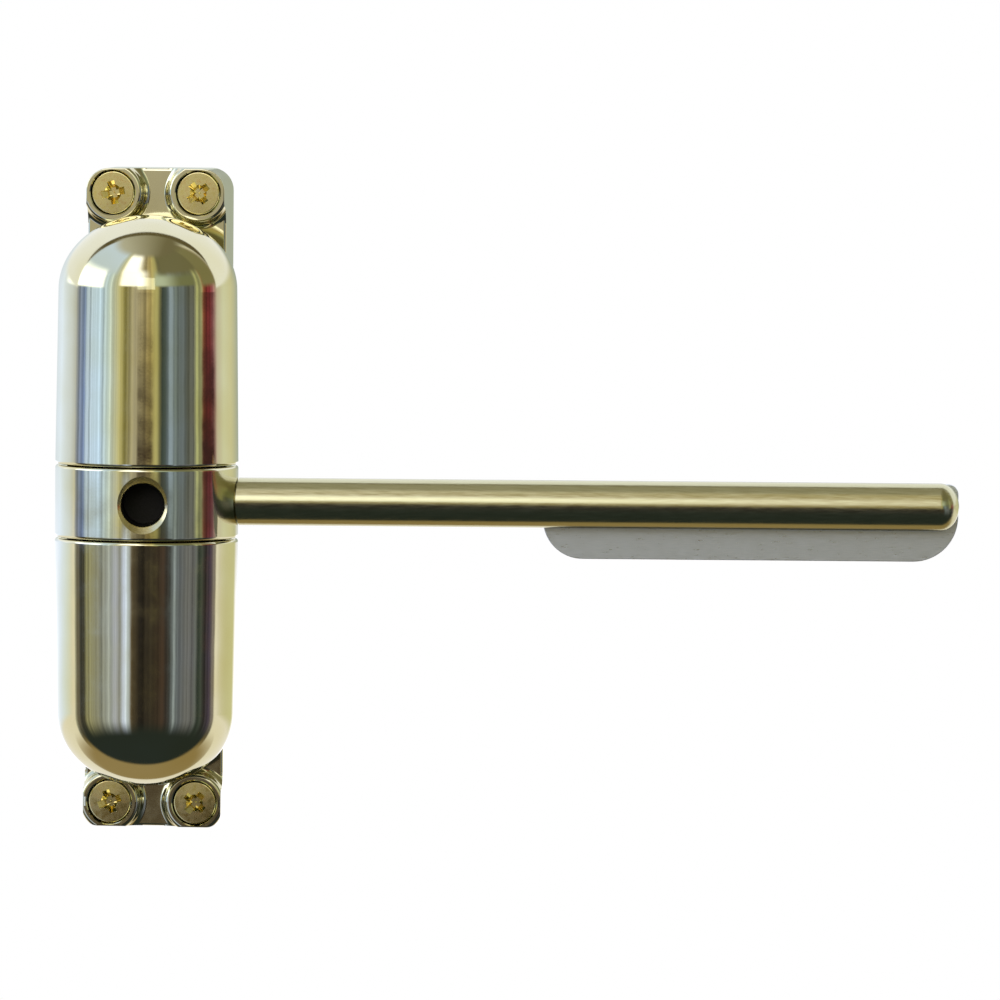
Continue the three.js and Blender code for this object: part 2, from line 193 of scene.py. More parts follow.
def fitted(piece, body, slot, material, *nodes):
    painted(piece, material)
    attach(piece, body)
    if nodes:
        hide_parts(*nodes)
    return piece


# Material helpers.

def linear(hexColour):
    channels = [int(hexColour[i:i + 2], 16) / 255 for i in (0, 2, 4)]
    return [c / 12.92 if c <= 0.04045 else ((c + 0.055) / 1.055) ** 2.4 for c in channels] + [1]


# Adds a node with its settings, and sets or links its inputs: i0 is the first input, and From_Min
# is the one called "From Min". A colour ramp's settings hold its stops.
def node(tree, kind, settings=None, **inputs):
    made = tree.nodes.new(kind)
    for key, value in (settings or {}).items():
        if key != "stops":
            setattr(made, key, value)
            continue
        elements = made.color_ramp.elements
        while len(elements) < len(value):
            elements.new(0.5)
        for element, (place, hexColour) in zip(elements, value):
            element.position = place
            element.color = linear(hexColour)
    for key, value in inputs.items():
        byIndex = key[0] == "i" and key[1:].isdigit()
        socket = made.inputs[int(key[1:]) if byIndex else key.replace("_", " ")]
        if isinstance(value, bpy.types.NodeSocket):
            tree.links.new(value, socket)
        else:
            socket.default_value = value
    return made


def newMaterial(name, metallic=1.0):
    material = bpy.data.materials.new(name)
    material.use_nodes = True
    tree = material.node_tree
    shader = tree.nodes["Principled BSDF"]
    shader.inputs["Metallic"].default_value = metallic
    return material, tree, shader


brassLook = {
    "tones": ("d6cea2", "ddd8b8"),  # yellower and paler patches of the plating
    "patch": 14,  # mm between patches
    "haze": 4,  # mm between the spots that are dulled by handling
    "roughness": (0.04, 0.11),
    "wave": 8,  # mm between the slow ripples left by polishing
    "waveHeight": 0.035,  # mm
    "scratch": 0.5,  # mm between hairlines, drawn coarser than real ones so that they show
    "scratchHeight": 0.004,  # mm
}


# Electro-brassed zinc casting, mirror polished: pale yellow, with slow ripples, faint hairlines and
# a thin haze where it has been handled.
def polishedBrassPlate():
    look = brassLook
    material, tree, shader = newMaterial("polishedBrassPlate")
    place = node(tree, "ShaderNodeTexCoord").outputs["Object"]
    patches = node(tree, "ShaderNodeTexNoise", None, Vector=place, Scale=1 / (look["patch"] * mm),
                   Detail=2.0)
    colour = node(tree, "ShaderNodeValToRGB", {"stops": [(0.3, look["tones"][0]), (0.7, look["tones"][1])]},
                  Fac=patches.outputs["Fac"])
    haze = node(tree, "ShaderNodeTexNoise", None, Vector=place, Scale=1 / (look["haze"] * mm),
                Detail=6.0, Roughness=0.6)
    rough = node(tree, "ShaderNodeMapRange", None, Value=haze.outputs["Fac"], From_Min=0.35, From_Max=0.75,
                 To_Min=look["roughness"][0], To_Max=look["roughness"][1])
    waves = node(tree, "ShaderNodeTexNoise", None, Vector=place, Scale=1 / (look["wave"] * mm), Detail=1.0)
    hairlines = node(tree, "ShaderNodeTexNoise", None, Vector=place, Scale=1 / (look["scratch"] * mm),
                     Detail=2.0)
    waveBump = node(tree, "ShaderNodeBump", None, Height=waves.outputs["Fac"], Strength=1.0,
                    Distance=look["waveHeight"] * mm)
    fineBump = node(tree, "ShaderNodeBump", None, Height=hairlines.outputs["Fac"], Strength=0.2,
                    Distance=look["scratchHeight"] * mm, Normal=waveBump.outputs["Normal"])
    tree.links.new(colour.outputs["Color"], shader.inputs["Base Color"])
    tree.links.new(rough.outputs["Result"], shader.inputs["Roughness"])
    tree.links.new(fineBump.outputs["Normal"], shader.inputs["Normal"])
    return material


# Metal with a grain: one noise drives its colour, roughness and height. Grain and height are in
# millimetres, and stretch is how many times longer the grain is from left to right than across.
def grainedMetal(name, tones, roughness, grain, height, stretch=1.0):
    material, tree, shader = newMaterial(name)
    place = node(tree, "ShaderNodeTexCoord").outputs["Object"]
    drawn = node(tree, "ShaderNodeMapping", {"vector_type": "POINT"}, Vector=place, Scale=(1 / stretch, 1, 1))
    marks = node(tree, "ShaderNodeTexNoise", None, Vector=drawn.outputs["Vector"], Scale=1 / (grain * mm),
                 Detail=5.0)
    stops = [(0.3 + 0.4 * i / (len(tones) - 1), tone) for i, tone in enumerate(tones)]
    colour = node(tree, "ShaderNodeValToRGB", {"stops": stops}, Fac=marks.outputs["Fac"])
    rough = node(tree, "ShaderNodeMapRange", None, Value=marks.outputs["Fac"], From_Min=0.3, From_Max=0.7,
                 To_Min=roughness[0], To_Max=roughness[1])
    bump = node(tree, "ShaderNodeBump", None, Height=marks.outputs["Fac"], Distance=height * mm, Strength=0.5)
    tree.links.new(colour.outputs["Color"], shader.inputs["Base Color"])
    tree.links.new(rough.outputs["Result"], shader.inputs["Roughness"])
    tree.links.new(bump.outputs["Normal"], shader.inputs["Normal"])
    return material


nylonLook = {
    "tones": ("dedbd0", "eae8df"),
    "cloud": 1.5,  # mm between its faint clouds
    "roughness": 0.5,
    "refraction": 1.53,
    "translucency": 0.1,
    "lightDepths": (0.002, 0.0018, 0.0015),  # metres that red, green and blue light go in
}


# Moulded nylon: off-white, faintly translucent and matt.
def mouldedNylon():
    look = nylonLook
    material, tree, shader = newMaterial("mouldedNylon", metallic=0.0)
    place = node(tree, "ShaderNodeTexCoord").outputs["Object"]
    cloud = node(tree, "ShaderNodeTexNoise", None, Vector=place, Scale=1 / (look["cloud"] * mm), Detail=3.0)
    colour = node(tree, "ShaderNodeValToRGB", {"stops": [(0.3, look["tones"][0]), (0.7, look["tones"][1])]},
                  Fac=cloud.outputs["Fac"])
    tree.links.new(colour.outputs["Color"], shader.inputs["Base Color"])
    shader.inputs["Roughness"].default_value = look["roughness"]
    shader.inputs["IOR"].default_value = look["refraction"]
    shader.inputs["Subsurface Weight"].default_value = look["translucency"]
    shader.inputs["Subsurface Radius"].default_value = look["lightDepths"]
    return material


brassPlate = polishedBrassPlate()
# Brass-plated drawn bar: fine lengthways drawing lines stretch its highlights into long soft bands.
drawnBrass = grainedMetal("drawnBrassPlate", ("c8c298", "d4d0a8"), (0.17, 0.25), 0.35, 0.003, stretch=50)
# Nickel-plated rolled sheet: cool pale grey with a soft lengthways grain.
nickelSheet = grainedMetal("satinNickelSheet", ("e8f0f8", "f0f6fc"), (0.27, 0.34), 0.25, 0.0006, stretch=12)
# Yellow zinc plated steel: bright pale gold that drifts a little between lemon and amber.
yellowZinc = grainedMetal("yellowZincPlate", ("e2d288", "eee2a4", "e8ce8c"), (0.08, 0.14), 0.9, 0.002)
# Brass plate over a countersink's cutter marks, which spread its highlights.
sunkBrass = grainedMetal("countersunkBrassPlate", ("dccf98", "e4dab0"), (0.18, 0.26), 0.5, 0.001)
# Painted shade: a dull, near-black finish for the free socket's bore, so that the bore reads as a shaded hole.
paintedBoreShade = grainedMetal("paintedBoreShade", ("2a2824", "3a3833"), (0.5, 0.65), 0.2, 0.01)
# Turned steel, unplated: mid grey, with tool marks that blur its highlights.
turnedSteel = grainedMetal("turnedSteel", ("8b8c8e", "a9abad"), (0.24, 0.38), 0.3, 0.01)
# Oil-tempered spring wire: dark grey under a thin uneven film of oil.
oiledSpringSteel = grainedMetal("oiledSpringSteel", ("3c3d3f", "55575a"), (0.28, 0.42), 0.3, 0.01)
# Sintered bronze: brown and dull, with the fine mottle of its pressed grains.
sinteredBronze = grainedMetal("sinteredBronze", ("7a5a34", "95703f"), (0.42, 0.58), 0.15, 0.01)
nylon = mouldedNylon()
print("materials made")


# The object's own pieces, with their sizes in millimetres.

# Casings: drafted tubes with elliptical domes, hollow and open towards the collar.
casingSizes = {
    "gap": 0.25,  # between collar and casing
    "rootRadius": 18.3,
    "domeRootRadius": 17.85,
    "straight": 34.8,
    "domeHeight": 14.9,
    "wall": 2.3,
    "footRound": 0.55,
    "boss": (8, 38),  # radius and foot of the spindle's boss
    "bore": (4.8, 45.5),  # radius and floor of its bore
    "screwHole": (2.2, 2, 9),  # radius, and how far in front of the wall it starts and ends
    "domeSteps": 28,
    "innerDomeSteps": 10,
    "steps": 224,
}
collarSizes = {
    "radius": 18.3,
    "halfHeight": 7.2,
    "bore": 7.3,
    "edgeRound": 0.55,
    "socket": 4.1,
    "socketFloor": 8.8,
    "socketMouth": 5.3,
    "mouthDepth": 1.5,
    "mouthLand": 0.4,  # part of the mouth's depth that its lip's round takes up
    "lipRound": 0.5,
    "legHole": (1.8, 3.5, 10),  # radius, floor and top of the hole for each spring's inner leg
    "legPlace": (150, 12.5),  # degrees round from the arm, and distance from the spindle
    "holeEdges": 0.12,
}


def casingMesh():
    size = casingSizes
    bm = bmesh.new()
    root, domeRoot = size["rootRadius"] * mm, size["domeRootRadius"] * mm
    straight, wall = size["straight"] * mm, size["wall"] * mm
    bossRadius, bossFoot = (v * mm for v in size["boss"])
    bore, boreFloor = (v * mm for v in size["bore"])
    innerRadius = domeRoot - wall
    innerHeight = size["domeHeight"] * mm - wall
    # Outer dome: an arc spun from its foot, then stretched to its height.
    outerFoot = bm.verts.new((domeRoot, 0, 0))
    bmesh.ops.spin(bm, geom=[outerFoot], cent=(0, 0, 0), axis=(0, -1, 0), angle=math.radians(90),
                   steps=size["domeSteps"])
    bmesh.ops.scale(bm, vec=(1, 1, size["domeHeight"] * mm / domeRoot), verts=bm.verts[:])
    # Inner dome: the same, stopping where it meets the boss.
    outerVerts = bm.verts[:]
    innerFoot = bm.verts.new((innerRadius, 0, 0))
    bmesh.ops.spin(bm, geom=[innerFoot], cent=(0, 0, 0), axis=(0, -1, 0),
                   angle=math.acos(bossRadius / innerRadius), steps=size["innerDomeSteps"])
    innerVerts = [v for v in bm.verts if v not in outerVerts]
    bmesh.ops.scale(bm, vec=(1, 1, innerHeight / innerRadius), verts=innerVerts)
    bmesh.ops.translate(bm, vec=(0, 0, straight), verts=bm.verts[:])
    innerEnd = max(innerVerts, key=lambda v: v.co.z)
    foot = bm.verts.new((root, 0, 0))
    innerRim = bm.verts.new((root - wall, 0, 0))
    bossEdge = bm.verts.new((bossRadius, 0, bossFoot))
    boreMouth = bm.verts.new((bore, 0, bossFoot))
    boreEnd = bm.verts.new((bore, 0, boreFloor))
    boreMiddle = bm.verts.new((0, 0, boreFloor))
    for pair in ((outerFoot, foot), (foot, innerRim), (innerRim, innerFoot), (innerEnd, bossEdge),
                 (bossEdge, boreMouth), (boreMouth, boreEnd), (boreEnd, boreMiddle)):
        bm.edges.new(pair)
    bmesh.ops.bevel(bm, geom=[foot], offset=size["footRound"] * mm, segments=6, profile=0.5,
                    affect="VERTICES", material=-1)
    spunRound(bm, size["steps"])
    bmesh.ops.translate(bm, vec=(0, 0, (collarSizes["halfHeight"] + size["gap"]) * mm), verts=bm.verts[:])
    return bm


# The casings' screws come through the back plate from behind.
def shellScrewPlace(side, end):
    low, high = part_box(f"{side}_casing_screw_{end}")
    return Matrix.Translation((0, 0, (low.z + high.z) / 2)) @ outOfWall


for side in ("upper", "lower"):
    turn = noPlace if side == "upper" else upsideDown
    shell = finished(side + "_casing_shell", casingMesh(), spindlePlace @ turn, 40)
    drills = []
    for end in ("inner", "outer"):
        drills.append(finished("drill", rodMesh(*casingSizes["screwHole"]), shellScrewPlace(side, end)))
    combined(shell, drills, sharpAngle=40)
    fitted(shell, "fixed_body", "brass_plate", brassPlate, side + "_casing")
print("casings made")


# Collar: a ring with the arm's socket, a flared free socket and a hole for each spring's leg.
def flaredTool():
    size = collarSizes
    mouthFoot = size["radius"] - size["mouthDepth"]
    slope = (size["socketMouth"] - size["socket"]) / (size["mouthDepth"] - size["mouthLand"])
    reach = 3  # how far the flare goes on, to clear the collar
    corners = [(0, size["socketFloor"]), (size["socket"], size["socketFloor"]), (size["socket"], mouthFoot),
               (size["socket"] + slope * reach, mouthFoot + reach), (0, mouthFoot + reach)]
    return turned(corners, [(2, size["lipRound"], 6)], 96)


def collarRing():
    size = collarSizes
    radius, half, bore = size["radius"], size["halfHeight"], size["bore"]
    ring = turned([(bore, -half), (radius, -half), (radius, half), (bore, half)],
                  [(1, size["edgeRound"], 6), (2, size["edgeRound"], 6)], 256, closed=True)
    piece = finished("collar_ring", ring, armPlace, 40)
    armSocket = rodMesh(size["socket"], size["socketFloor"], radius + 1, 96)
    tools = [finished("tool", armSocket, armPlace @ alongArm),
             finished("tool", flaredTool(), armPlace @ outOfWall)]
    legAngle, legAcross = size["legPlace"]
    legPlace = Matrix.Rotation(math.radians(legAngle), 4, "Z") @ Matrix.Translation((legAcross * mm, 0, 0))
    for turn in (noPlace, Matrix.Rotation(math.radians(180), 4, "X")):
        tools.append(finished("tool", rodMesh(*size["legHole"]), armPlace @ legPlace @ turn))
    combined(piece, tools, sharpAngle=40)
    softEdges(piece, size["holeEdges"], 2, 50)
    return piece


# The free socket's bore is painted near-black as painted shade down the hole, and its flare gets the countersunk
# brass.
# Faces of the flare and the bore are told by how far they are from the socket's middle and by facing it.
def paintShadeInSocket(piece):
    size = collarSizes
    piece.data.materials.append(paintedBoreShade)
    piece.data.materials.append(sunkBrass)
    backToArm = armPlace.inverted()
    for face in piece.data.polygons:
        at = backToArm @ face.center / mm
        across = math.hypot(at.x, at.z)
        inward = (backToArm.to_3x3() @ face.normal).dot(Vector((at.x, 0, at.z))) < -0.2 * across
        if at.y > -size["bore"] or across > size["socketMouth"] + 0.3:
            continue
        # Bore faces get the near-black painted shade.
        if across < size["socket"] + 0.05:
            face.material_index = 1
        elif inward:
            face.material_index = 2


ring = fitted(collarRing(), "swinging_arm", "brass_plate", brassPlate, "arm_collar")
paintShadeInSocket(ring)
print("collar made")


# Arm: round bar with a root hollowed to sit on the collar, a spigot in its socket and a rounded tip,
# flattened behind for the plate.
armSizes = {
    "radius": 4.75,
    "spigot": 3.8,
    "spigotEnd": 21,
    "spigotRound": 0.4,
    "spigotGap": 0.3,  # between the spigot's end and the socket's floor
    "rootStart": 14,
    "rootGap": 0.2,
    "copeHalfHeight": 8,
    "reach": 162.4,
    "tipLength": 3.8,
    "flat": 0.6,  # depth of the flat behind
    "flatHalfWidth": 6,
    "flatGap": 0.3,  # how far the flat runs past the plate's inner end
}
plateSizes = {
    "start": 79.2,
    "end": 162.4,
    "top": 4.3,
    "bottom": -11.2,
    "corners": (8, 9, 2, 2),  # lower left, lower right, upper right, upper left
    "front": 4.45,
    "thickness": 1.6,
    "edges": 0.25,
    "rivets": (93, 149),
}
rivetSizes = {
    "shank": 1.5,
    "shankStart": 1.6,
    "head": 3,
    "headDepth": 1.5,
    "hole": 1.8,
    "holeStart": 1.2,
    "sink": 3.3,  # radius of the countersink
    "sinkDepth": 1.4,
}


def rivetPlace(alongPlate):
    return armPlace @ Matrix.Translation((alongPlate * mm, 0, 0)) @ backOfArm


def armBar():
    size = armSizes
    bm = bmesh.new()
    radius, reach = size["radius"], size["reach"]
    tipFoot = bm.verts.new((radius * mm, 0, 0))
    bmesh.ops.spin(bm, geom=[tipFoot], cent=(0, 0, 0), axis=(0, -1, 0), angle=math.radians(90), steps=20)
    bmesh.ops.scale(bm, vec=(1, 1, size["tipLength"] / radius), verts=bm.verts[:])
    bmesh.ops.translate(bm, vec=(0, 0, (reach - size["tipLength"]) * mm), verts=bm.verts[:])
    root = bm.verts.new((radius * mm, 0, size["rootStart"] * mm))
    middle = bm.verts.new((0, 0, size["rootStart"] * mm))
    bm.edges.new((tipFoot, root))
    bm.edges.new((root, middle))
    spunRound(bm, 128)
    piece = finished("arm_bar", bm, armPlace @ alongArm, 40)
    collarShape = collarSizes["radius"] + size["rootGap"]
    cope = rodMesh(collarShape, -size["copeHalfHeight"], size["copeHalfHeight"], 256)
    combined(piece, [finished("tool", cope, armPlace)])
    floor = collarSizes["socketFloor"] + size["spigotGap"]
    spigot = turned([(0, floor), (size["spigot"], floor), (size["spigot"], size["spigotEnd"]),
                     (0, size["spigotEnd"])], [(1, size["spigotRound"], 3)], 96)
    combined(piece, [finished("tool", spigot, armPlace @ alongArm)], "UNION")
    start, end, half = plateSizes["start"] - size["flatGap"], plateSizes["end"] + 1, size["flatHalfWidth"]
    flatBlock = roundedBlock(start, end, -half, half, (0.1,) * 4, radius - size["flat"], radius + 2, 2)
    tools = [finished("tool", flatBlock, armPlace @ backOfArm)]
    for place in plateSizes["rivets"]:
        hole = rodMesh(rivetSizes["hole"], rivetSizes["holeStart"], 8)
        tools.append(finished("tool", hole, rivetPlace(place)))
    return combined(piece, tools, sharpAngle=40)


fitted(armBar(), "swinging_arm", "brass_plate", drawnBrass, "arm_rod")


# The outline is drawn facing forward, so its heights run up and its thickness runs to the back.
def slidePlate():
    size, rivet = plateSizes, rivetSizes
    back = size["front"] + size["thickness"]
    sheet = roundedBlock(size["start"], size["end"], -size["top"], -size["bottom"], size["corners"][::-1],
                         size["front"], back, 20)
    piece = finished("slide_plate_sheet", sheet, armPlace @ backOfArm, 30)
    tools = []
    for place in size["rivets"]:
        hole = turned([(0, 2), (rivet["hole"], 2), (rivet["hole"], back - rivet["sinkDepth"]),
                       (rivet["sink"], back + 0.1), (rivet["sink"], back + 2), (0, back + 2)], steps=48)
        tools.append(finished("tool", hole, rivetPlace(place)))
    combined(piece, tools, sharpAngle=30)
    return softEdges(piece, size["edges"], 4, 50)


fitted(slidePlate(), "swinging_arm", "nickel_plate", nickelSheet, "slide_plate")

size = rivetSizes
top = plateSizes["front"] + plateSizes["thickness"] - 0.1  # just below the plate's back
for place, end in zip(plateSizes["rivets"], ("inner", "outer")):
    rivet = turned([(0, size["shankStart"]), (size["shank"], size["shankStart"]),
                    (size["shank"], top - 0.1 - size["headDepth"]), (size["head"], top - 0.1),
                    (size["head"], top), (0, top)], [(1, 0.3, 4), (4, 0.08, 3)], 64)
    placed = finished(f"plate_rivet_{end}", rivet, rivetPlace(place), 30)
    fitted(placed, "swinging_arm", "plain_steel", turnedSteel, f"slide_plate_rivet_{end}")
print("arm and slide plate made")


# Back plate: a block with a boss round each screw, hollowed to the casings' shape.
baseSizes = {
    "plateDepth": 10.8,
    "bossDepth": 13.5,
    "bossRadius": 6,
    "bossFlare": 1.9,  # radius of the hollow round each boss's foot
    "bossCrest": 0.7,
    "well": 4.5,  # radius of the hole round each screw's head
    "wellSeat": (9.8, 11.9),  # depths between which the hole widens for the head
    "wellLip": 0.4,
    "screwBore": 2.4,
    "shellBore": 2.2,  # for the screws from behind, with the countersink for their heads
    "shellSink": 3.8,
    "shellSinkDepths": (0.3, 1.9),
    "frontRound": 0.5,
    "bossRim": 0.2,
    "corners": (3, 3, 4.5, 4.5),  # lower left, lower right, upper right, upper left
    "seatGap": 0.3,
}
screwNodes = ["upper_left", "upper_right", "lower_left", "lower_right"]


def screwPlace(name):
    low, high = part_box(name + "_mounting_screw")
    return Matrix.Translation(((low.x + high.x) / 2, 0, (low.z + high.z) / 2))


def seatTool():
    size, gap = casingSizes, baseSizes["seatGap"]
    bm = bmesh.new()
    radius = size["domeRootRadius"] + gap
    foot = size["straight"] + collarSizes["halfHeight"] + size["gap"]
    domeFoot = bm.verts.new((radius * mm, 0, 0))
    bmesh.ops.spin(bm, geom=[domeFoot], cent=(0, 0, 0), axis=(0, -1, 0), angle=math.radians(90), steps=24)
    bmesh.ops.scale(bm, vec=(1, 1, (size["domeHeight"] + gap) / radius), verts=bm.verts[:])
    bmesh.ops.translate(bm, vec=(0, 0, foot * mm), verts=bm.verts[:])
    rim = bm.verts.new(((size["rootRadius"] + gap) * mm, 0, (collarSizes["halfHeight"] + size["gap"]) * mm))
    middle = bm.verts.new(((size["rootRadius"] + gap) * mm, 0, 0))
    bm.edges.new((domeFoot, rim))
    bm.edges.new((rim, middle))
    bmesh.ops.mirror(bm, geom=bm.verts[:] + bm.edges[:], axis="Z", merge_dist=1e-7)
    return spunRound(bm, 160)


def backPlate():
    size = baseSizes
    low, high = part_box("mounting_base")
    left, right, bottom, top = low.x / mm, high.x / mm, low.z / mm, high.z / mm
    # The outline is drawn lying down and stood up by outOfWall, which turns its +Y to +Z.
    block = roundedBlock(left, right, bottom, top, size["corners"], 0, size["plateDepth"],
                         rim=size["frontRound"])
    outline = roundedBlock(left, right, bottom, top, size["corners"], 0, size["bossDepth"],
                           rim=size["bossRim"])
    piece = finished("back_plate", block, outOfWall, 30)
    bosses = []
    for name in screwNodes:
        wide, narrow = size["bossRadius"] + size["bossFlare"] + 0.2, size["bossRadius"]
        ledge = size["plateDepth"] - 0.1
        corners = [(0, 1), (wide, 1), (wide, ledge), (narrow, ledge), (narrow, size["bossDepth"]),
                   (0, size["bossDepth"])]
        boss = turned(corners, [(3, size["bossFlare"], 10), (4, size["bossCrest"], 6)], 96)
        bosses.append(finished("boss", boss, screwPlace(name) @ outOfWall))
    joined = combined(bosses[0], bosses[1:], "UNION")
    combined(joined, [finished("outline", outline, outOfWall)], "INTERSECT")
    combined(piece, [joined], "UNION")
    tools = [finished("seat", seatTool(), spindlePlace)]
    well, mouth, bore = size["well"], size["bossDepth"], size["screwBore"]
    lip = well + size["wellLip"]
    seatFoot, seatHead = size["wellSeat"]
    for name in screwNodes:
        hole = turned([(0, -1), (bore, -1), (bore, seatFoot), (well, seatHead), (well, mouth - 0.2),
                       (lip, mouth + 0.2), (lip, mouth + 1.5), (0, mouth + 1.5)], steps=96)
        tools.append(finished("tool", hole, screwPlace(name) @ outOfWall))
    bore, sink = size["shellBore"], size["shellSink"]
    start, end = size["shellSinkDepths"]
    shellProfile = [(0, -1), (sink, -1), (sink, start), (bore, end), (bore, 8), (0, 8)]
    for side in ("upper", "lower"):
        for end in ("inner", "outer"):
            hole = turned(shellProfile, steps=48)
            tools.append(finished("tool", hole, shellScrewPlace(side, end)))
    combined(piece, tools, sharpAngle=30)
    return evenNormals(piece)


fitted(backPlate(), "fixed_body", "brass_plate", brassPlate, "mounting_base")
print("back plate made")


# Tools for a cross recess: two tapered slots that meet in a cone.
def crossSlots(width, thickness, depth, head, place):
    slots = []
    for turn in (0, 90):
        bm = bmesh.new()
        bmesh.ops.create_cube(bm, size=1)
        bmesh.ops.scale(bm, vec=(width * mm, thickness * mm, depth * mm), verts=bm.verts[:])
        foot = [v for v in bm.verts if v.co.z < 0]
        bmesh.ops.scale(bm, vec=(0.4, 0.6, 1), verts=foot)  # narrower towards the recess's floor
        rise = 0.02 + turn / 1000  # so that the two slots don't end level
        bmesh.ops.translate(bm, vec=(0, 0, (head - depth / 2 + rise) * mm), verts=bm.verts[:])
        slots.append(finished("slot", bm, place @ Matrix.Rotation(math.radians(turn), 4, "Z")))
    wide, above = thickness * 1.15, head + 0.3
    cone = turned([(0, head - depth * 1.1), (wide, head + 0.01), (wide, above), (0, above)], steps=30)
    slots.append(finished("slot", cone, place))
    return slots


screwSizes = {
    "head": 4.3,
    "shank": 2.1,
    "foot": 0.4,
    "top": 12.9,
    "crown": 0.05,  # how far the head's middle stands above its rim
    "rim": 0.6,
    "slot": (4.9, 1.5, 2.1),  # length, width and depth
    "edges": 0.06,
}
shellScrewSizes = {
    "head": 3.5,
    "shank": 1.9,
    "back": 0.15,
    "cone": (0.3, 1.9),  # where the head's cone starts and ends
    "foot": 6,
    "slot": (3.8, 0.9, 1.3),
}
# Degrees that each screw's cross is turned.
screwTurns = {"upper_left": 12, "upper_right": 38, "lower_left": 20, "lower_right": 50}

size = screwSizes
coneTop = size["top"] - size["rim"]
middle = size["top"] + size["crown"]
for name in screwNodes:
    corners = [(0, size["foot"]), (size["shank"], size["foot"]),
               (size["shank"], coneTop - (size["head"] - size["shank"])), (size["head"], coneTop),
               (size["head"], size["top"]), (0, middle)]
    screw = turned(corners, [(1, 0.5, 4), (4, 0.22, 5)], 96)
    place = screwPlace(name) @ outOfWall @ Matrix.Rotation(math.radians(screwTurns[name]), 4, "Z")
    piece = finished(name + "_wood_screw", screw, place, 35)
    combined(piece, crossSlots(*size["slot"], middle, place), sharpAngle=35)
    softEdges(piece, size["edges"], 2, 45)
    fitted(piece, "fixed_body", "gold_screw", yellowZinc, name + "_mounting_screw")

size = shellScrewSizes
coneStart, coneEnd = size["cone"]
for side in ("upper", "lower"):
    for end in ("inner", "outer"):
        place = shellScrewPlace(side, end)
        corners = [(0, size["foot"]), (size["shank"], size["foot"]), (size["shank"], coneEnd),
                   (size["head"], coneStart), (size["head"], size["back"]), (0, size["back"])]
        screw = turned(corners, [(1, 0.3, 3), (4, 0.06, 3)], 64)
        piece = finished(f"{side}_{end}_shell_screw", screw, place, 35)
        flipped = place @ Matrix.Rotation(math.radians(180), 4, "X")
        combined(piece, crossSlots(*size["slot"], -size["back"], flipped), sharpAngle=35)
        fitted(piece, "fixed_body", "plain_steel", turnedSteel, f"{side}_casing_screw_{end}")
print("screws made")


# Torsion springs, copied from the imported model and given oiled steel. In the closer the inner leg turns with the
# collar and the outer leg stays in its anchor, so the coils between them twist; these copies are not attached to
# either body and are not twisted here.
for side in ("upper", "lower"):
    name = side + "_torsion_spring"
    bm = bmesh.new()
    bm.from_mesh(frame["nodes"][name].data)
    bmesh.ops.remove_doubles(bm, verts=bm.verts[:], dist=1e-7)
    spring = finished(side + "_wound_spring", bm, sharpAngle=60)
    painted(spring, oiledSpringSteel)
    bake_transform(spring)
    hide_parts(name)
print("springs made")


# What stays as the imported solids: the pieces closed up inside.
keptFinishes = {
    "spindle": turnedSteel,
    "spring_anchor": turnedSteel,
    "anchor_pin": turnedSteel,
    "circlip": oiledSpringSteel,
    "thrust_washer": nylon,
    "collar_bush": sinteredBronze,
}
for name, piece in frame["nodes"].items():
    for ending, finish in keptFinishes.items():
        if name.endswith(ending):
            painted(piece, finish)
print("inner pieces finished")


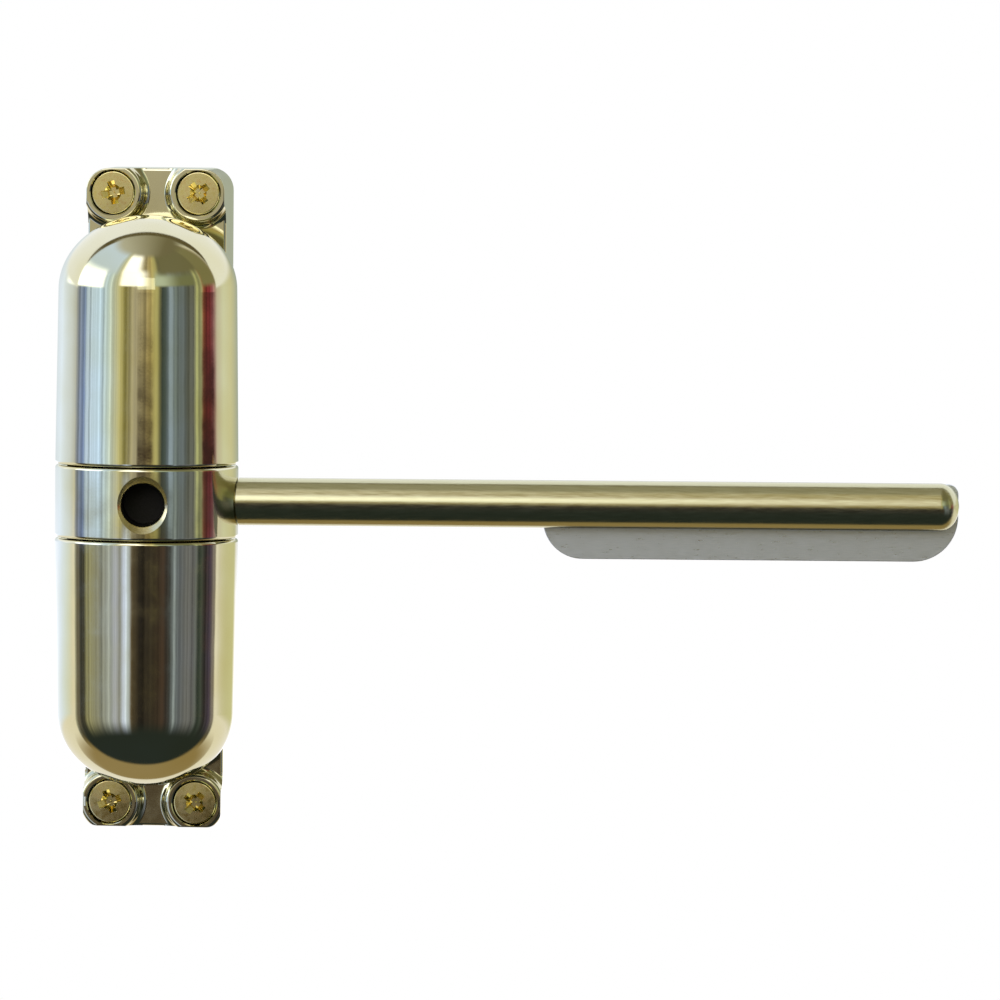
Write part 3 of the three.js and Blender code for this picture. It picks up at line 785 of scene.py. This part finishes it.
# Surroundings: a white backdrop behind the object and a dim room in front of it. Each stop is an
# angle round from the viewer, to the left and to the right, and the colour seen there at half its
# brightness. The room changes a little below the viewer's level, so there are two rounds.
room = {
    "brightness": 2.0,
    "change": (-4.4, -2.6),  # heights in degrees between which the lower round gives way to the upper
    "above": [
        (-180, "9ea39c"), (-140, "bccaec"), (-112, "acb6d0"), (-103, "9ca2b4"),  # pale left wall
        (-97, "687294"), (-86, "6478b4"), (-82, "a8bef0"), (-60, "a2bcf2"), (-50, "a6bad6"),  # window
        (-33, "a8a47e"), (-27, "68643c"), (-14, "928e84"), (4, "887c58"), (13, "a09c70"),  # olive wall
        (20, "2c3436"), (25, "3a4448"), (31, "7888a4"), (38, "57626d"),  # grey screen
        (47, "566070"), (55, "444849"), (63, "5e6267"), (68, "848868"), (75, "8d9178"),
        (78, "6e4030"), (84, "6b2a31"), (90, "74303c"), (95, "855766"),  # red curtain
        (103, "a09c98"), (116, "acb0a4"), (135, "a8a892"), (163, "848a80"), (180, "7a8078"),  # right wall
    ],
    "below": [
        (-180, "e4e4f0"), (-140, "bac8ec"), (-112, "b0bac4"), (-103, "a4a8a4"),  # pale left wall
        (-97, "605c56"), (-91, "343434"), (-84, "343430"), (-79, "84846e"), (-62, "6c6e6c"),  # cabinet
        (-44, "8890a0"), (-38, "959cbc"), (-31, "747882"), (-26, "b4c2f4"), (-21, "aab8d8"),  # blue boards
        (-17, "463e34"), (-6, "1c1a1c"), (9, "2c2826"), (24, "382e2c"), (33, "30343c"),  # shade in front
        (38, "6f7a90"), (45, "4c5264"), (55, "5c5f6d"), (64, "585b6a"),  # grey cabinet
        (73, "313b3b"), (83, "2c2b30"), (92, "3c364b"),  # shade under the curtain
        (101, "787474"), (112, "a2a18c"), (150, "a2a280"), (160, "d8d8e8"), (180, "e4e4f0"),  # right wall
    ],
    "stripe": 5.0,  # degrees between the faint stripes that break up the rounds
    "stripeStrength": (0.6, 1.3),
    # The ceiling's colours from -1, the far left, to 1, the far right.
    "ceiling": [(-1, "a8aaaa"), (-0.3, "90908a"), (0, "78766a"), (0.25, "5c5846"), (1, "524e3e")],
    # Each layer is a colour, its gain and the limits it fades in between. Limits of turn and height
    # are in degrees, and a slope is the height over the distance behind the object.
    "layers": [
        ("unstriped", 1, [("depth", 0.17, 0.22)]),
        ("1e2424", 1, [("height", -7, -38)]),  # shade low in front
        # A dark upright that starts at the viewer's level.
        ("281e1a", 1, [("height", -0.5, -1.5), ("height", -3.5, -2.5), ("turn", -13, -9), ("turn", 12, 7)]),
        # The red curtain darkens downward, and something olive hangs over it.
        ("2c1c1e", 1, [("height", -0.4, -1.7), ("height", -3.5, -2.5), ("turn", 72, 78), ("turn", 102, 94)]),
        # A screen, brighter to its left.
        ("5e624c", 1, [("height", 6, 12), ("height", 42, 20), ("turn", 10, 18), ("turn", 70, 62)]),
        ("94a098", 1, [("height", 6, 12), ("height", 42, 20), ("turn", 8, 14), ("turn", 48, 18)]),
        # The ceiling comes lower to the right and to the left.
        ("5a5844", 1, [("height", 24, 36), ("turn", 10, 24), ("turn", 86, 78)]),
        ("a3b4d4", 1, [("height", 24, 34), ("turn", -38, -50)]),
        ("66644c", 1, [("height", 3, 12), ("turn", 74, 80), ("turn", 108, 98)]),
        # A window.
        ("dfe8ff", 1.6, [("height", 3, 7), ("height", 38, 24), ("turn", -135, -118), ("turn", -54, -64)]),
        # A lamp, narrower towards its top.
        ("eef0ff", 1.2, [("height", 7, 11), ("height", 42, 30), ("turn", -38, -31), ("turn", 7, -12)]),
        ("eef0ff", 1.2, [("height", 26, 36), ("height", 74, 62), ("turn", -38, -31), ("turn", -4, -16)]),
        # The backdrop and the dark beam over it.
        ("c2c6d2", 1, [("depth", 0.17, 0.22), ("slope", 0.12, 0.35)]),
        ("4a4430", 1, [("depth", 0.17, 0.22), ("slope", 2.3, 2.6)]),
        ("ceiling", 1, [("height", 58, 70), ("depth", 0.27, 0.23)]),
        ("bcbab8", 1, [("depth", 0.17, 0.22), ("slope", -0.12, -0.35)]),
        # The table in front of the backdrop's foot.
        ("76684a", 1, [("depth", 0.04, 0.15), ("slope", -0.98, -1.1), ("height", -20, -50)]),
    ],
}


def buildSurroundings():
    world = bpy.data.worlds.new("studio")
    scene.world = world
    world.use_nodes = True
    tree = world.node_tree
    tree.nodes.clear()
    place = node(tree, "ShaderNodeTexCoord").outputs["Generated"]
    facing = node(tree, "ShaderNodeMapping", {"vector_type": "POINT"}, Vector=place,
                  Rotation=(0, 0, math.radians(-cameraSizes["azimuth"])))
    split = node(tree, "ShaderNodeSeparateXYZ", None, Vector=facing.outputs["Vector"]).outputs
    front = node(tree, "ShaderNodeMath", {"operation": "MULTIPLY"}, i0=split["Y"], i1=-1.0)
    angle = node(tree, "ShaderNodeMath", {"operation": "ARCTAN2"}, i0=split["X"], i1=front.outputs[0])
    turn = node(tree, "ShaderNodeMath", {"operation": "DEGREES"}, i0=angle.outputs[0]).outputs[0]
    slope = node(tree, "ShaderNodeMath", {"operation": "DIVIDE"}, i0=split["Z"], i1=split["Y"]).outputs[0]
    measures = {"turn": turn, "height": split["Z"], "depth": split["Y"], "slope": slope}

    # Colours that change round the room or across it.
    ramps = {}
    for name, measure, reach in (("above", turn, 180), ("below", turn, 180), ("ceiling", split["X"], 1)):
        share = node(tree, "ShaderNodeMapRange", None, Value=measure, From_Min=-reach, From_Max=reach)
        stops = [((at + reach) / (2 * reach), colour) for at, colour in room[name]]
        ramp = node(tree, "ShaderNodeValToRGB", {"stops": stops}, Fac=share.outputs["Result"])
        ramps[name] = ramp.outputs["Color"]
    low, high = (math.sin(math.radians(degrees)) for degrees in room["change"])
    change = node(tree, "ShaderNodeMapRange", {"interpolation_type": "SMOOTHSTEP"}, Value=split["Z"],
                  From_Min=low, From_Max=high)
    plain = node(tree, "ShaderNodeMix", {"data_type": "RGBA"}, i0=change.outputs["Result"], i6=ramps["below"],
                 i7=ramps["above"])
    ramps["unstriped"] = plain.outputs[2]
    stripe = node(tree, "ShaderNodeMath", {"operation": "DIVIDE"}, i0=turn, i1=room["stripe"])
    stripes = node(tree, "ShaderNodeTexNoise", {"noise_dimensions": "1D"}, W=stripe.outputs[0], Scale=1.0,
                   Detail=2.0)
    weakest, strongest = room["stripeStrength"]
    strength = node(tree, "ShaderNodeMapRange", None, Value=stripes.outputs["Fac"], From_Min=0.3,
                    From_Max=0.7, To_Min=weakest, To_Max=strongest)
    striped = node(tree, "ShaderNodeVectorMath", {"operation": "SCALE"}, Vector=ramps["unstriped"],
                   Scale=strength.outputs["Result"])
    seen = striped.outputs["Vector"]

    for colour, gain, limits in room["layers"]:
        share = None
        for measure, low, high in limits:
            if measure == "height":
                low, high = math.sin(math.radians(low)), math.sin(math.radians(high))
            fade = node(tree, "ShaderNodeMapRange", {"interpolation_type": "SMOOTHSTEP"},
                        Value=measures[measure], From_Min=low, From_Max=high).outputs["Result"]
            if share is not None:
                fade = node(tree, "ShaderNodeMath", {"operation": "MULTIPLY"}, i0=share, i1=fade).outputs[0]
            share = fade
        over = ramps[colour] if colour in ramps else [gain * c for c in linear(colour)[:3]] + [1]
        seen = node(tree, "ShaderNodeMix", {"data_type": "RGBA"}, i0=share, i6=seen, i7=over).outputs[2]

    reflected = node(tree, "ShaderNodeBackground", None, Color=seen, Strength=room["brightness"])
    white = node(tree, "ShaderNodeBackground", None, Color=(1, 1, 1, 1), Strength=1.0)
    rays = node(tree, "ShaderNodeLightPath").outputs["Is Camera Ray"]
    choice = node(tree, "ShaderNodeMixShader", None, Fac=rays, i1=reflected.outputs[0], i2=white.outputs[0])
    node(tree, "ShaderNodeOutputWorld", None, Surface=choice.outputs[0])


# Camera: far off with a long lens, a little to the right of the object and above it.
cameraSizes = {
    "azimuth": 6.5,  # degrees
    "elevation": 3.083,
    "roll": 0.45,
    "distance": 2.0,  # metres
    "lens": 361.0,
    "aim": (0.07083, -0.02, 0.00096),
}


def buildCamera():
    size = cameraSizes
    camera = bpy.data.cameras.new("camera")
    camera.sensor_width = 36
    camera.lens = size["lens"]
    camera.clip_end = 20
    holder = bpy.data.objects.new("camera", camera)
    scene.collection.objects.link(holder)
    azimuth, elevation = math.radians(size["azimuth"]), math.radians(size["elevation"])
    level = math.cos(elevation)
    direction = Vector((math.sin(azimuth) * level, -math.cos(azimuth) * level, math.sin(elevation)))
    aim = Vector(size["aim"])
    upright = (-direction).to_track_quat("-Z", "Y").to_matrix().to_4x4()
    tilt = Matrix.Rotation(math.radians(size["roll"]), 4, "Z")
    holder.matrix_world = Matrix.Translation(aim + direction * size["distance"]) @ upright @ tilt
    scene.camera = holder


# Places and sizes in metres, powers in watts. Only the card shows in the polished metal.
studioLights = {
    "softWindow": {"place": (-0.9, -0.9, 0.5), "aim": (0, 0, 0), "size": (0.7, 1.0), "power": 9,
                   "colour": "f4f7ff"},
    "softTop": {"place": (0.2, -0.3, 1.2), "aim": (0.05, 0, 0), "size": (0.9, 0.9), "power": 7},
    # Half a metre in front and above the arm's level: it lights the arm's root more than its tip.
    "paleCard": {"place": (0.055, -0.5, 0.165), "aim": (0.055, 0, 0.165), "size": (0.19, 0.18), "power": 0.06,
                 "colour": "f6fffc", "reflected": True},
}


def buildLight(name, place, aim, size, power, colour="ffffff", reflected=False):
    light = bpy.data.lights.new(name, "AREA")
    light.shape = "RECTANGLE"
    light.size, light.size_y = size
    light.energy = power
    light.color = linear(colour)[:3]
    holder = bpy.data.objects.new(name, light)
    scene.collection.objects.link(holder)
    direction = Vector(aim) - Vector(place)
    turnedTo = direction.to_track_quat("-Z", "Y").to_matrix().to_4x4()
    holder.matrix_world = Matrix.Translation(place) @ turnedTo
    holder.visible_camera = False
    holder.visible_glossy = reflected


floorSizes = {
    "radius": 1.2,  # metres
    "place": (0.07, 0, -0.36),
    "tones": ("eeeeec", "f2f2f0"),
    "clouds": 12.0,  # in each metre
    "roughness": 0.7,
}


# Matt painted board: nearly white, and dull enough to hold no reflection.
def buildFloor():
    size = floorSizes
    bm = bmesh.new()
    bmesh.ops.create_circle(bm, cap_ends=True, radius=size["radius"], segments=96)
    floor = finished("floor", bm, Matrix.Translation(size["place"]))
    material, tree, shader = newMaterial("paleFloor", metallic=0.0)
    place = node(tree, "ShaderNodeTexCoord").outputs["Object"]
    tone = node(tree, "ShaderNodeTexNoise", None, Vector=place, Scale=size["clouds"], Detail=3.0)
    colour = node(tree, "ShaderNodeValToRGB", {"stops": [(0.3, size["tones"][0]), (0.7, size["tones"][1])]},
                  Fac=tone.outputs["Fac"])
    tree.links.new(colour.outputs["Color"], shader.inputs["Base Color"])
    shader.inputs["Roughness"].default_value = size["roughness"]
    floor.data.materials.append(material)
    floor.visible_glossy = False  # the polished metal reflects the room instead


buildCamera()
buildSurroundings()
for name, light in studioLights.items():
    buildLight(name, **light)
buildFloor()
scene.view_settings.view_transform = "Standard"
print("studio made")
